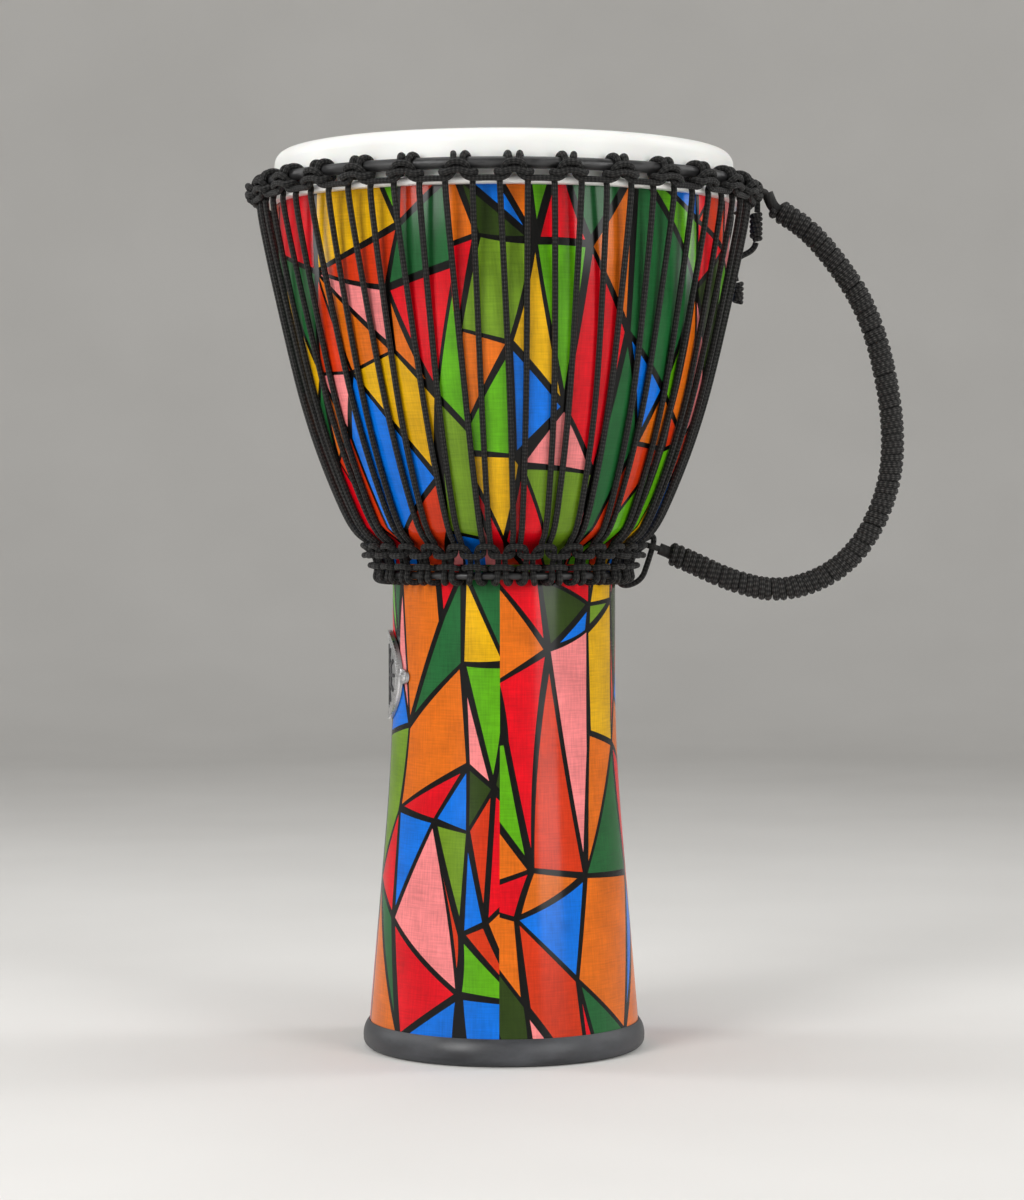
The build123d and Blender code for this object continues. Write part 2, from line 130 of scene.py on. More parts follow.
def tube(name, line, diameter, closed=False, sides=10):
    """A round rope along a line. Its UV map runs round the rope and along it, in diameters."""
    tangents, across, up = frames_along(line, closed)
    if closed:
        start = across[0] - tangents[-1] * (across[0] @ tangents[-1])
        miss = np.arctan2(start @ up[-1], start @ across[-1])
        twist = np.linspace(0, miss, len(line))[:, None]
        across, up = (
            across * np.cos(twist) + up * np.sin(twist),
            up * np.cos(twist) - across * np.sin(twist),
        )
    corner = np.linspace(0, tau, sides, endpoint=False)[None, :, None]
    ring = np.cos(corner) * across[:, None] + np.sin(corner) * up[:, None]
    points = (line[:, None] + ring * (diameter / 2)).reshape(-1, 3)
    steps = np.linalg.norm(np.diff(line, axis=0, append=line[:1]), axis=1)
    along = np.concatenate([[0], np.cumsum(steps)]) / diameter
    rings = len(line) if closed else len(line) - 1
    i, j = np.meshgrid(np.arange(rings), np.arange(sides), indexing="ij")
    after, beside = (i + 1) % len(line) * sides, (j + 1) % sides
    quads = np.stack([i * sides + j, i * sides + beside, after + beside, after + j], -1)
    faces = quads.reshape(-1, 4).tolist()
    u = np.stack([j, j + 1, j + 1, j], -1) / sides
    v = along[np.stack([i, i, i + 1, i + 1], -1)]
    uvs = np.stack([u, v], -1).reshape(-1, 2)
    if not closed:
        last = (len(line) - 1) * sides
        faces.append(list(range(sides))[::-1])
        faces.append([last + k for k in range(sides)])
        uvs = np.concatenate([uvs, np.zeros((2 * sides, 2))])
    mesh = bpy.data.meshes.new(name)
    mesh.from_pydata(points.tolist(), [], faces)
    mesh.uv_layers.new(name="rope").data.foreach_set("uv", uvs.ravel().astype(np.float32))
    mesh.polygons.foreach_set("use_smooth", [True] * len(faces))
    mesh.update()
    return add_object(name, mesh)


# ---- materials ----------------------------------------------------------------------------
class Nodes:
    """A material's node tree with short names for the nodes that the surfaces share."""

    def __init__(self, name, colour, roughness, **settings):
        self.material = bpy.data.materials.new(name)
        self.material.use_nodes = True
        self.tree = self.material.node_tree
        self.shader = self.tree.nodes["Principled BSDF"]
        self.shader.inputs["Base Color"].default_value = (*colour, 1)
        self.shader.inputs["Roughness"].default_value = roughness
        for socket, value in settings.items():
            self.shader.inputs[socket.replace("_", " ")].default_value = value

    def new(self, kind, **values):
        node = self.tree.nodes.new(kind)
        for key, value in values.items():
            if key in node.inputs:
                node.inputs[key].default_value = value
            else:
                setattr(node, key, value)
        return node

    def link(self, source, target):
        self.tree.links.new(source, target)

    def coordinates(self, scale=(1, 1, 1), uv=False):
        """Object or UV coordinates, stretched."""
        source = self.new("ShaderNodeTexCoord").outputs["UV" if uv else "Object"]
        mapping = self.new("ShaderNodeMapping", Scale=scale)
        self.link(source, mapping.inputs["Vector"])
        return mapping.outputs["Vector"]

    def noise(self, scale, detail=4.0, stretch=(1, 1, 1), uv=False, rough=0.55):
        node = self.new("ShaderNodeTexNoise", Scale=scale, Detail=detail, Roughness=rough)
        self.link(self.coordinates(stretch, uv), node.inputs["Vector"])
        return node.outputs["Fac"]

    def math(self, operation, first, second=0.0):
        node = self.new("ShaderNodeMath", operation=operation)
        for socket, value in zip(node.inputs, (first, second)):
            if isinstance(value, (int, float)):
                socket.default_value = value
            else:
                self.link(value, socket)
        return node.outputs[0]

    def ramp(self, factor, low, high, start=0.3, end=0.7):
        """Two colours blended by a factor between two of its values."""
        node = self.new("ShaderNodeValToRGB")
        first, second = node.color_ramp.elements
        first.position, first.color = start, (*low, 1)
        second.position, second.color = end, (*high, 1)
        self.link(factor, node.inputs["Fac"])
        return node.outputs["Color"]

    def between(self, factor, low, high, start=0.3, end=0.7):
        """A number that goes from low to high as the factor goes from start to end."""
        node = self.new("ShaderNodeMapRange")
        limits = {"From Min": start, "From Max": end, "To Min": low, "To Max": high}
        for name, value in limits.items():
            node.inputs[name].default_value = value
        self.link(factor, node.inputs["Value"])
        return node.outputs["Result"]

    def paint(self, colour):
        self.link(colour, self.shader.inputs["Base Color"])

    def roughen(self, value):
        self.link(value, self.shader.inputs["Roughness"])

    def bump(self, height, distance, strength=1.0):
        node = self.new("ShaderNodeBump", Strength=strength, Distance=distance)
        self.link(height, node.inputs["Height"])
        self.link(node.outputs["Normal"], self.shader.inputs["Normal"])


def shade(colour, factor):
    """A colour made lighter or darker."""
    return tuple(min(1, channel * factor) for channel in colour)


ROPE_BLACK = (0.007, 0.0068, 0.0065)
WOUND_BLACK = (0.012, 0.0115, 0.011)
ROPE_SPECULAR = 0.22
INK_SPECULAR = 0.05


def rope_material(name, strands, pitch, colour):
    """A braided cord: strands cross each other in diamonds, with fine fibres on them. Its colour
    is painted darker in the braid's hollows and pale on its crests, as painted shade and painted
    highlight.
    """
    rope = Nodes(name, colour, 0.5, Sheen_Weight=0.03, Sheen_Roughness=0.45)
    rope.shader.inputs["Specular IOR Level"].default_value = ROPE_SPECULAR
    split = rope.new("ShaderNodeSeparateXYZ")
    rope.link(rope.new("ShaderNodeTexCoord").outputs["UV"], split.inputs["Vector"])
    around = rope.math("MULTIPLY", split.outputs["X"], tau * strands)
    along = rope.math("MULTIPLY", split.outputs["Y"], tau / pitch)
    left = rope.math("SINE", rope.math("ADD", around, along))
    right = rope.math("SINE", rope.math("SUBTRACT", around, along))
    braid = rope.math("MULTIPLY", left, right)
    fibre = rope.noise(9, 3, (18, 1, 1), uv=True)
    height = rope.math("ADD", rope.math("MULTIPLY", braid, 0.5), rope.math("MULTIPLY", fibre, 0.7))
    # The ramp paints the braid's hollows darker (painted shade) and its crests pale (painted
    # highlight); the fibre noise mixed in is the cord's own uneven tone.
    rope.paint(rope.ramp(height, shade(colour, 0.35), shade(colour, 6.5), 0.25, 0.95))
    rope.roughen(rope.between(fibre, 0.45, 0.7))
    rope.bump(height, 0.0006, 1.0)
    return rope.material


def core_material():
    """The bare cords of the handle's core and eyes, laid together."""
    core = Nodes("core_cord", (0.010, 0.0095, 0.009), 0.65)
    core.shader.inputs["Specular IOR Level"].default_value = ROPE_SPECULAR
    lay = core.noise(420, 3, (1, 1, 0.35))
    core.paint(core.ramp(lay, (0.004, 0.004, 0.004), (0.028, 0.027, 0.026)))
    core.bump(lay, 0.0005, 0.8)
    return core.material


def print_material(name, colour):
    """One dye of the printed cloth: uneven ink on a fine weave, under a clear coat."""
    cloth = Nodes(name, colour, 0.5, Coat_Weight=0.6, Coat_Roughness=0.17, Coat_IOR=1.38)
    cloth.shader.inputs["Specular IOR Level"].default_value = INK_SPECULAR
    warp = cloth.noise(1, 2, (900, 60, 1), uv=True)
    weft = cloth.noise(1, 2, (60, 900, 1), uv=True)
    blotch = cloth.noise(38, 5)
    weave = cloth.math("ADD", cloth.math("MULTIPLY", warp, 0.5), cloth.math("MULTIPLY", weft, 0.5))
    unevenness = cloth.math("MULTIPLY", blotch, 0.4)
    depth = cloth.math("ADD", cloth.math("MULTIPLY", weave, 0.6), unevenness)
    cloth.paint(cloth.ramp(depth, shade(colour, 0.74), shade(colour, 1.24), 0.36, 0.64))
    cloth.roughen(cloth.between(weave, 0.42, 0.6))
    cloth.bump(weave, 0.00006, 0.25)
    return cloth.material


def film_material():
    """The white coated film of the head, a little uneven and faintly speckled."""
    film = Nodes("head_film", (0.77, 0.755, 0.73), 0.42, Subsurface_Weight=0.12)
    film.shader.inputs["Subsurface Scale"].default_value = 0.004
    speckle = film.noise(700, 2)
    cloud = film.noise(14, 3)
    film.paint(film.ramp(cloud, (0.74, 0.725, 0.70), (0.80, 0.785, 0.76)))
    film.roughen(film.between(cloud, 0.36, 0.5))
    film.bump(speckle, 0.00012, 0.35)
    return film.material


def hoop_material():
    """The white painted flesh hoop, with long faint marks."""
    hoop = Nodes("hoop_white", (0.90, 0.885, 0.86), 0.3)
    mark = hoop.noise(60, 4, (1, 1, 4))
    hoop.paint(hoop.ramp(mark, (0.80, 0.78, 0.74), (0.94, 0.93, 0.91), 0.25, 0.5))
    hoop.bump(mark, 0.0002, 0.3)
    return hoop.material


def sleeve_material():
    """The rings' heat-shrunk sleeves, smooth with faint wrinkles."""
    sleeve = Nodes("ring_sleeve", (0.018, 0.018, 0.018), 0.42)
    wrinkle = sleeve.noise(75, 3, (1, 1, 2.4))
    sleeve.paint(sleeve.ramp(wrinkle, (0.008, 0.008, 0.008), (0.032, 0.032, 0.033)))
    sleeve.roughen(sleeve.between(wrinkle, 0.34, 0.55))
    sleeve.bump(wrinkle, 0.0012, 0.55)
    return sleeve.material


def rubber_material():
    """The moulded rim: blue-grey rubber with cloudy marks and a fine grain."""
    rubber = Nodes("rim_rubber", (0.028, 0.030, 0.034), 0.42)
    cloud = rubber.noise(20, 6, (1, 1, 2.2), rough=0.65)
    grain = rubber.noise(1500, 2)
    rubber.paint(rubber.ramp(cloud, (0.018, 0.019, 0.022), (0.060, 0.063, 0.070), 0.35, 0.7))
    rubber.roughen(rubber.between(cloud, 0.34, 0.56))
    rubber.bump(grain, 0.00008, 0.5)
    return rubber.material


def shell_material():
    """The bare inside of the moulded shell."""
    shell = Nodes("shell_inside", (0.03, 0.029, 0.028), 0.6)
    grain = shell.noise(160, 6)
    shell.paint(shell.ramp(grain, (0.018, 0.018, 0.018), (0.05, 0.048, 0.045)))
    shell.roughen(shell.between(grain, 0.5, 0.75))
    shell.bump(grain, 0.0005, 0.5)
    return shell.material


def metal_material(name, colour, roughness):
    """Steel with a fine brushed grain and a few dull patches."""
    metal = Nodes(name, colour, roughness, Metallic=1.0)
    brushed = metal.noise(260, 3, (1, 1, 14))
    patch = metal.noise(45, 3)
    metal.paint(metal.ramp(patch, shade(colour, 0.82), shade(colour, 1.1)))
    metal.roughen(metal.between(brushed, roughness - 0.08, roughness + 0.14))
    metal.bump(brushed, 0.00005, 0.3)
    return metal.material


def enamel_material():
    """The dull dark filling of the badge's emblem."""
    enamel = Nodes("badge_dark", (0.02, 0.02, 0.022), 0.4)
    patch = enamel.noise(300, 3)
    enamel.paint(enamel.ramp(patch, (0.012, 0.012, 0.013), (0.04, 0.04, 0.044)))
    enamel.bump(patch, 0.00008, 0.4)
    return enamel.material


def dress(material, *names):
    """Gives CAD nodes a material."""
    for name in names:
        for slot in nodes[name].material_slots:
            slot.material = material


braided = rope_material("braided_rope", strands=4, pitch=1.3, colour=ROPE_BLACK)
wound = rope_material("wound_cord", strands=5, pitch=1.0, colour=WOUND_BLACK)
dress(core_material(), "handle_core")
dress(film_material(), "head_skin")
dress(hoop_material(), "flesh_hoop")
dress(sleeve_material(), "crown_ring_sleeve", "lower_ring_sleeve")
dress(rubber_material(), "foot_rim")
dress(shell_material(), "shell")
dress(metal_material("badge_metal", (0.50, 0.50, 0.51), 0.34), "badge_plate")
dress(metal_material("bright_metal", (0.74, 0.74, 0.75), 0.24), "badge_rim", "badge_rivets")
dress(
    metal_material("ring_steel", (0.45, 0.45, 0.46), 0.4),
    "crown_ring",
    "lower_ring",
    "rivet_washers",
)
dress(enamel_material(), "badge_emblem")

# ---- printed cloth: black cloth with irregular bright shards ------------------------------
# All lengths of the flat cloth are in mm. Each dye has its colour and how often it is drawn.
DYES = {
    "red": ((0.60, 0.001, 0.008), 19),
    "vermilion": ((0.52, 0.030, 0.004), 17),
    "orange": ((0.60, 0.125, 0.006), 17),
    "yellow": ((0.62, 0.340, 0.002), 12),
    "leaf": ((0.090, 0.330, 0.004), 9),
    "moss": ((0.130, 0.240, 0.012), 4),
    "forest": ((0.012, 0.100, 0.026), 9),
    "olive": ((0.020, 0.040, 0.004), 7),
    "blue": ((0.001, 0.135, 0.60), 10),
    "pink": ((0.74, 0.205, 0.205), 6),
}
BLACK = (0.0025, 0.0022, 0.002)
LINE_HALF_WIDTHS = (1.0, 2.7)
SHARD_CELL = (37.0, 62.0)
SHARD_SKIPPED = 0.14
SHARD_SCATTER = (0.46, 0.48)
STRETCH = 0.38
SIDE_LEAN, SIDE_LEAN_LENGTH = 14, (90, 37)
UP_LEAN, UP_LEAN_LENGTH = 9, 41
PAIRED_SHARE = 0.22
LONGEST_TIP = 40
SIDE_STEP = 4.5
SIDE_BOW = 0.03
CLOTH_GRID = (5, 8)
BORDER_SLIVER = 0.01
# The smallest areas that are kept, in square mm.
FLATTEST_CORNER = 60
SMALLEST_CELL = 90
SMALLEST_SHARD = 12


def clipped(outline, width, height):
    """The part of an outline that lies inside the cloth."""
    for axis, limit, sign in ((0, 0, 1), (0, width, -1), (1, 0, 1), (1, height, -1)):
        kept = []
        for a, b in zip(outline, outline[1:] + outline[:1]):
            inside_a = sign * (a[axis] - limit) >= 0
            inside_b = sign * (b[axis] - limit) >= 0
            if inside_a:
                kept.append(a)
            if inside_a != inside_b:
                share = (limit - a[axis]) / (b[axis] - a[axis])
                kept.append(tuple(a[k] + (b[k] - a[k]) * share for k in (0, 1)))
        outline = kept
    return outline


def area_of(outline):
    """Signed area of an outline, positive when it runs anticlockwise."""
    pairs = zip(outline, outline[1:] + outline[:1])
    return sum(a[0] * b[1] - b[0] * a[1] for a, b in pairs) / 2


def crossing(first, second):
    """Where two lines meet, each given as a point and a direction."""
    (ax, ay), (ux, uy) = first
    (bx, by), (vx, vy) = second
    cross = ux * vy - uy * vx
    if abs(cross) < 1e-6:
        return None
    t = ((bx - ax) * vy - (by - ay) * vx) / cross
    return ax + ux * t, ay + uy * t


def shard_corners(width, height, draw):
    """The shards' shared corners, scattered unevenly over and round the cloth."""
    across, up = SHARD_CELL
    corners = []
    row = 0
    y = -up
    while y < height + 2 * up:
        x = -across * (1.0 if row % 2 else 0.5)
        while x < width + 2 * across:
            if draw.random() > SHARD_SKIPPED:
                sideways = draw.uniform(-SHARD_SCATTER[0], SHARD_SCATTER[0]) * across
                upwards = draw.uniform(-SHARD_SCATTER[1], SHARD_SCATTER[1]) * up
                corners.append((x + sideways, y + upwards))
            x += across
        y += up
        row += 1
    return corners


def leaning(x, y):
    """Where a corner is put for choosing triangles, which makes them long and slanting."""
    sideways = SIDE_LEAN * sin(y / SIDE_LEAN_LENGTH[1] + x / SIDE_LEAN_LENGTH[0])
    return Vector((x + sideways, y * STRETCH + UP_LEAN * sin(x / UP_LEAN_LENGTH)))


def shard_cells(corners, draw):
    """Long triangles between the corners, some of them joined in pairs."""
    triangles = delaunay_2d_cdt([leaning(*corner) for corner in corners], [], [], 0, 1e-5)[2]
    cells = [list(triangle) for triangle in triangles]
    owner = {}
    for index, cell in enumerate(cells):
        for a, b in zip(cell, cell[1:] + cell[:1]):
            owner[(a, b)] = index
    joined = set()
    merged = []
    order = list(range(len(cells)))
    draw.shuffle(order)
    for index in order:
        if index in joined or draw.random() > PAIRED_SHARE:
            continue
        cell = cells[index]
        for k in range(3):
            a, b, c = cell[k], cell[(k + 1) % 3], cell[(k + 2) % 3]
            other = owner.get((b, a))
            if other is None or other in joined or other == index:
                continue
            d = next(corner for corner in cells[other] if corner not in (a, b))
            quad = [a, d, b, c]
            outline = [corners[corner] for corner in quad]
            turns = [
                area_of([outline[m - 1], outline[m], outline[(m + 1) % 4]]) for m in range(4)
            ]
            if min(turns) > FLATTEST_CORNER:
                joined.update((index, other))
                merged.append(quad)
                break
    return merged + [cell for index, cell in enumerate(cells) if index not in joined]


def shard_outline(cell, corners, widths, bows):
    """A cell drawn in from its edges, with tapering gaps and slightly bowed sides."""
    points = [corners[corner] for corner in cell]
    if area_of(points) < 0:
        cell = cell[::-1]
        points = points[::-1]
    sides = []
    for k, a in enumerate(cell):
        b = cell[(k + 1) % len(cell)]
        (ax, ay), (bx, by) = corners[a], corners[b]
        length = hypot(bx - ax, by - ay)
        inward = (-(by - ay) / length, (bx - ax) / length)
        start, end = widths[(a, b)] if (a, b) in widths else widths[(b, a)][::-1]
        head = (ax + inward[0] * start, ay + inward[1] * start)
        tail = (bx + inward[0] * end, by + inward[1] * end)
        sides.append((head, (tail[0] - head[0], tail[1] - head[1])))
    inner = [crossing(sides[k - 1], sides[k]) for k in range(len(sides))]
    if None in inner or area_of(inner) < SMALLEST_CELL:
        return None
    for k, point in enumerate(inner):
        if hypot(point[0] - points[k][0], point[1] - points[k][1]) > LONGEST_TIP:
            return None
    outline = []
    for k, a in enumerate(cell):
        b = cell[(k + 1) % len(cell)]
        p, q = inner[k], inner[(k + 1) % len(cell)]
        run = (q[0] - p[0], q[1] - p[1])
        bow = bows[(a, b)] if (a, b) in bows else -bows[(b, a)]
        count = max(1, int(hypot(*run) / SIDE_STEP))
        for m in range(count):
            t = m / count
            out = 4 * t * (1 - t) * bow
            outline.append((p[0] + run[0] * t - run[1] * out, p[1] + run[1] * t + run[0] * out))
    return outline


def printed_shards(width, height, seed):
    """Outlines of the shards on a flat piece of cloth in mm, each with its dye."""
    draw = random.Random(seed)
    corners = shard_corners(width, height, draw)
    cells = shard_cells(corners, draw)
    widths, bows, beside = {}, {}, {}
    for index, cell in enumerate(cells):
        for a, b in zip(cell, cell[1:] + cell[:1]):
            beside.setdefault(frozenset((a, b)), []).append(index)
            if (a, b) not in widths and (b, a) not in widths:
                widths[(a, b)] = (draw.uniform(*LINE_HALF_WIDTHS), draw.uniform(*LINE_HALF_WIDTHS))
                bows[(a, b)] = draw.choice((0, 0, draw.uniform(-SIDE_BOW, SIDE_BOW)))
    names = list(DYES)
    chosen = {}
    shards = []
    for index, cell in enumerate(cells):
        near = set()
        for a, b in zip(cell, cell[1:] + cell[:1]):
            near.update(chosen.get(other) for other in beside[frozenset((a, b))])
        free = [name for name in names if name not in near]
        chosen[index] = draw.choices(free, [DYES[name][1] for name in free])[0]
        outline = shard_outline(cell, corners, widths, bows)
        outline = clipped(outline, width, height) if outline else []
        if len(outline) > 2 and abs(area_of(outline)) > SMALLEST_SHARD:
            shards.append((outline, names.index(chosen[index]) + 1))
    return shards


def along_border(corners, width, height):
    """Whether a triangle is only a sliver along one side of the flat cloth."""
    sides = [(x, width - x, y, height - y) for x, y in corners]
    return any(max(distances) < BORDER_SLIVER for distances in zip(*sides))


def flat_cloth(width, height, seed):
    """A fine mesh of the flat cloth: points, triangles, and the dye of each triangle."""
    points = []
    outlines = []
    dyes = []
    for outline, dye in printed_shards(width, height, seed):
        outlines.append(list(range(len(points), len(points) + len(outline))))
        dyes.append(dye)
        points += outline
    columns, rows = int(width / CLOTH_GRID[0]), int(height / CLOTH_GRID[1])
    for i in range(columns + 1):
        for j in range(rows + 1):
            points.append((width * i / columns, height * j / rows))
    found = delaunay_2d_cdt([Vector(point) for point in points], [], outlines, 0, 1e-4)
    flat, kept, colours = found[0], [], []
    for triangle, source in zip(found[2], found[5]):
        corners = [flat[corner] for corner in triangle]
        if not along_border(corners, width, height):
            kept.append(triangle)
            colours.append(dyes[source[0]] if source else 0)
    return flat, kept, colours


FACING_OUT = 0.3
SLOPE_REACH = 0.003


def outer_profile(name):
    """Heights and outer radii of a round CAD node, from its lowest point up."""
    mesh = nodes[name].data
    facing_out = set()
    for face in mesh.polygons:
        outward = Vector((face.center.x, face.center.y, 0)).normalized()
        if face.normal.dot(outward) > FACING_OUT:
            facing_out.update(face.vertices)
    corners = np.array([mesh.vertices[index].co for index in facing_out])
    heights = np.round(corners[:, 2], 5)
    levels = np.unique(heights)
    radii = np.hypot(corners[:, 0], corners[:, 1])
    return levels, np.array([radii[heights == level].max() for level in levels])


def printed_wrap(name, node, seam_angle, seam_lean, seed):
    """The printed cloth round a CAD wrap, with the seam where its two ends meet."""
    levels, outer = outer_profile(node)
    bottom, top = levels[0], levels[-1]
    mean_radius = float(np.interp((bottom + top) / 2, levels, outer))
    width, height = tau * mean_radius / MM, (top - bottom) / MM
    flat, triangles, dyes = flat_cloth(width, height, seed)
    points, normals = [], []
    for x, y in flat:
        z = bottom + (top - bottom) * y / height
        angle = radians(seam_angle + seam_lean * y / height) + tau * x / width
        radius = np.interp(z, levels, outer)
        above, below = min(z + SLOPE_REACH, top), max(z - SLOPE_REACH, bottom)
        widening = np.interp(above, levels, outer) - np.interp(below, levels, outer)
        slope = widening / (above - below)
        points.append((radius * sin(angle), -radius * cos(angle), z))
        normals.append(Vector((sin(angle), -cos(angle), -slope)).normalized())
    mesh = bpy.data.meshes.new(name)
    mesh.from_pydata(points, [], triangles)
    mesh.materials.append(print_material(f"{name}_black", BLACK))
    for dye, (colour, _) in DYES.items():
        mesh.materials.append(print_material(f"{name}_{dye}", colour))
    mesh.polygons.foreach_set("material_index", dyes)
    mesh.polygons.foreach_set("use_smooth", [True] * len(triangles))
    cloth = mesh.uv_layers.new(name="cloth")
    for loop, uv in zip(mesh.loops, cloth.data):
        uv.uv = flat[loop.vertex_index] * MM
    mesh.update()
    mesh.normals_split_custom_set_from_vertices(normals)
    settle(add_object(name, mesh), "drum", "printed_wrap", node)


printed_wrap("foot_print", "foot_wrap", seam_angle=-2, seam_lean=0, seed=11)
printed_wrap("bowl_print", "bowl_wrap", seam_angle=-9, seam_lean=-6, seed=5)

# ---- ropes round the drum -----------------------------------------------------------------
ROPE = 4.0
KNOTS = 30
PITCH = 360 / KNOTS
FIRST_KNOT = 2.15
LOWER_SKEW = 2.85
LEG_ANGLE = 3.0
LEG_TOP = 569.6
LEG_FOOT = 343.15
LEG_START = (103.75, 353.0)
LEG_HEIGHTS = (385, 420, 462)
LEG_STANDOFF = 2.75
BOWL_CENTRE = (-354.98, 582.43)
BOWL_SIDE_RADIUS = 510

# Routes are lists of (angle, radius, height), and angles count from the middle of a knot.
# Each list here is one half of what it names; mirrored() makes the other half.
top_hitch = [
    (1.1, 174.7, 585.9),
    (2.1, 172.9, 583.7),
    (2.2, 168.6, 580.3),
    (2.1, 158.5, 579.9),
    (1.75, 158.5, 591.9),
    (1.03, 170.3, 591.9),
    (0.68, 170.4, 579.3),
    (2.4, 170.1, 575.6),
    (4.2, 169.5, 575.95),
]
lower_hitch = [
    (2.07, 91.65, 329.6),
    (4.6, 88.8, 328.7),
    (4.55, 78.45, 328.05),
    (4.0, 78.4, 318.2),
    (1.82, 88.9, 319.45),
    (1.72, 86.5, 327.45),
    (1.18, 88.8, 337.05),
    (2.62, 94.9, 342.15),
    (4.3, 96.7, 343.15),
]
top_turn = [
    (1.25, 174.8, 580.6),
    (2.8, 173.9, 578.5),
    (4.0, 168.6, 580.9),
    (3.1, 165.1, 576.7),
    (LEG_ANGLE, 167.3, LEG_TOP),
]
lower_turn = [
    (2.5, 95.9, 336.4),
    (4.77, 91.25, 337.6),
    (4.44, 91.45, 344.6),
]


def mirrored(half):
    """The other half of a route that is the same on both sides of angle 0."""
    return [(-angle, radius, height) for angle, radius, height in reversed(half)]


def shifted(route, turn):
    """A route turned about the drum's axis."""
    return [(angle + turn, radius, height) for angle, radius, height in route]


def leg(foot_angle, side):
    """Points up one leg, just outside the bowl's face, leaning from its foot to its top."""
    points = [(foot_angle, *LEG_START)]
    for height in LEG_HEIGHTS:
        rise = (height - LEG_FOOT) / (LEG_TOP - LEG_FOOT)
        slope = asin((BOWL_CENTRE[1] - height) / BOWL_SIDE_RADIUS)
        depth = sqrt(BOWL_SIDE_RADIUS**2 - (BOWL_CENTRE[1] - height) ** 2)
        radius = BOWL_CENTRE[0] + depth + LEG_STANDOFF / cos(slope)
        points.append((foot_angle + (side * LEG_ANGLE - foot_angle) * rise, radius, height))
    return points


def lacing_unit():
    """One unit of the lacing, from the middle of one lower hitch to the next."""
    left_foot = shifted(lower_turn, LOWER_SKEW - PITCH / 2)
    right_foot = shifted(mirrored(lower_turn), LOWER_SKEW + PITCH / 2)
    left_leg = leg(left_foot[-1][0], -1)
    right_leg = leg(right_foot[0][0], 1)
    return left_foot + left_leg + mirrored(top_turn) + top_turn + right_leg[::-1] + right_foot


def rope_round(name, unit, first_angle, sides, steps):
    """A closed rope made of one unit at every knot."""
    route = []
    for knot in range(KNOTS):
        route += [place(*point) for point in shifted(unit, first_angle + knot * PITCH)]
    line = nurbs_line(route, closed=True, steps=steps)
    rope = tube(f"{name}_rope", line, ROPE * MM, closed=True, sides=sides)
    rope.data.materials.append(braided)
    settle(rope, "drum", "rope_black", name)


top_unit = mirrored(top_hitch) + top_hitch
lower_unit = mirrored(lower_hitch) + lower_hitch
first_lower_knot = FIRST_KNOT + LOWER_SKEW - PITCH / 2
rope_round("top_loops", top_unit, FIRST_KNOT, sides=12, steps=8)
rope_round("lower_loops", lower_unit, first_lower_knot, sides=12, steps=8)
rope_round("lacing", lacing_unit(), FIRST_KNOT, sides=10, steps=7)

# ---- carrying handle ----------------------------------------------------------------------
HINGE_TOP = (92.15, 175.49, 586.0)
HINGE_BOTTOM = (95.0, 102.7, 342.0)
WIND_RADIUS = 5.6
WIND_CORD = 5.2
WIND_PITCH = 4.6
WIND_START = 12
WIND_END = 8
SWELL = 0.02
KNOT_CORD = 3.3
KNOT_PITCH = 3.5
KNOT_INSET = 1.7
KNOT_END_INSET = 1.6

# The handle's route as (x, height), and below it the lashings' loops as (radius, height).
handle_corners = [
    (180.5, 584.45),
    (184.5, 574.5),
    (207, 561.5),
    (228.5, 537),
    (247.5, 508.5),
    (260, 472),
    (268, 425),
    (266, 385),
    (250.5, 347.5),
    (226, 322.5),
    (190, 310.5),
    (156, 318.5),
    (125, 333.5),
    (106.8, 340.8),
]


def in_handle_plane(x, height):
    """A point of the plane that holds both eyes and runs straight out along x."""
    top, bottom = place(*HINGE_TOP), place(*HINGE_BOTTOM)
    rise = (height * MM - bottom.z) / (top.z - bottom.z)
    return Vector((x * MM, bottom.y + rise * (top.y - bottom.y), height * MM))


def spaced(line, step):
    """Points at even steps along a line."""
    lengths = np.concatenate([[0], np.cumsum(np.linalg.norm(np.diff(line, axis=0), axis=1))])
    stations = np.arange(0, lengths[-1], step)
    return np.stack([np.interp(stations, lengths, line[:, k]) for k in range(3)], 1)


def winding(line, radius, pitch, per_turn, draw, wobble):
    """A helix round a line, each turn a little different from the next."""
    fine = spaced(line, pitch / per_turn)
    _, across, up = frames_along(fine)
    turns = len(fine) // per_turn + 2
    offsets = np.array([draw.uniform(-1, 1) for _ in range(turns)])
    phase = np.arange(len(fine)) / per_turn
    swell = np.interp(phase, np.arange(turns), offsets)
    slip = np.interp(phase, np.arange(turns), np.roll(offsets, 3))
    angle = (tau * phase + slip * wobble)[:, None]
    out = (radius * (1 + SWELL * wobble * swell))[:, None]
    return fine + out * (across * np.cos(angle) + up * np.sin(angle))


draw = random.Random(7)
handle_line = nurbs_line([in_handle_plane(*corner) for corner in handle_corners], steps=24)
handle_line = spaced(handle_line, MM)  # one point for every mm
covered = handle_line[WIND_START : len(handle_line) - WIND_END]
turns = winding(covered, WIND_RADIUS * MM, WIND_PITCH * MM, 22, draw, wobble=1.0)
handle_winding = tube("handle_winding", turns, WIND_CORD * MM, sides=8)
handle_winding.data.materials.append(wound)
settle(handle_winding, "handle", "rope_black", "handle_wrap")

